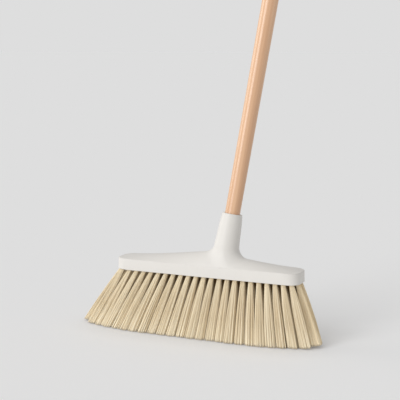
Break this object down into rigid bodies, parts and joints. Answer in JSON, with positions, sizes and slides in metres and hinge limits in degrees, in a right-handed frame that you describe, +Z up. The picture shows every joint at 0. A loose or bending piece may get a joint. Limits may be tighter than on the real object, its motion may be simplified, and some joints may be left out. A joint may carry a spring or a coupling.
{
  "type": "soft broom",
  "caption": "Floor broom: a round wooden pole screws into the leaning socket of a moulded plastic head that carries rows of soft, flared bristle tufts.",
  "frame": {"origin": "on the floor, at the cut tip of the first tuft right of the middle in the third bristle row from the front", "axes": "+Z up from the floor, +X along the head to the right as seen from the front, +Y to the back, where the pole leans"},
  "size_m": [0.4001, 0.2128, 1.3386],
  "materials": {
    "head_plastic": "satin moulded, warm off-white",
    "bristle": "soft split filaments, straw beige",
    "tip_plastic": "satin moulded",
    "pole_wood": "turned, clear satin lacquer"
  },
  "bodies": {
    "head": {"moulded_head": "head_plastic", "bristle_row_front": "bristle", "bristle_row_front_inner": "bristle", "bristle_row_rear_inner": "bristle", "bristle_row_rear": "bristle"},
    "screw_tip": {"pole_screw_tip": "tip_plastic"},
    "pole": {"pole": "pole_wood"}
  },
  "joints": [
    {"name": "tip_rise", "type": "slide", "parent": "head", "child": "screw_tip", "axis": [0.1294, 0.1329, 0.9827], "range_m": [0, 0.025]},
    {"name": "pole_unscrew", "type": "hinge", "parent": "screw_tip", "child": "pole", "pos_m": [0.03208, -0.00978, 0.1065], "axis": [0.1294, 0.1329, 0.9827], "range_deg": [0, 1800]}
  ],
  "couplings": [
    {"joint": "pole_unscrew", "follows": "tip_rise", "rad_per_m": 1256.6}
  ]
}
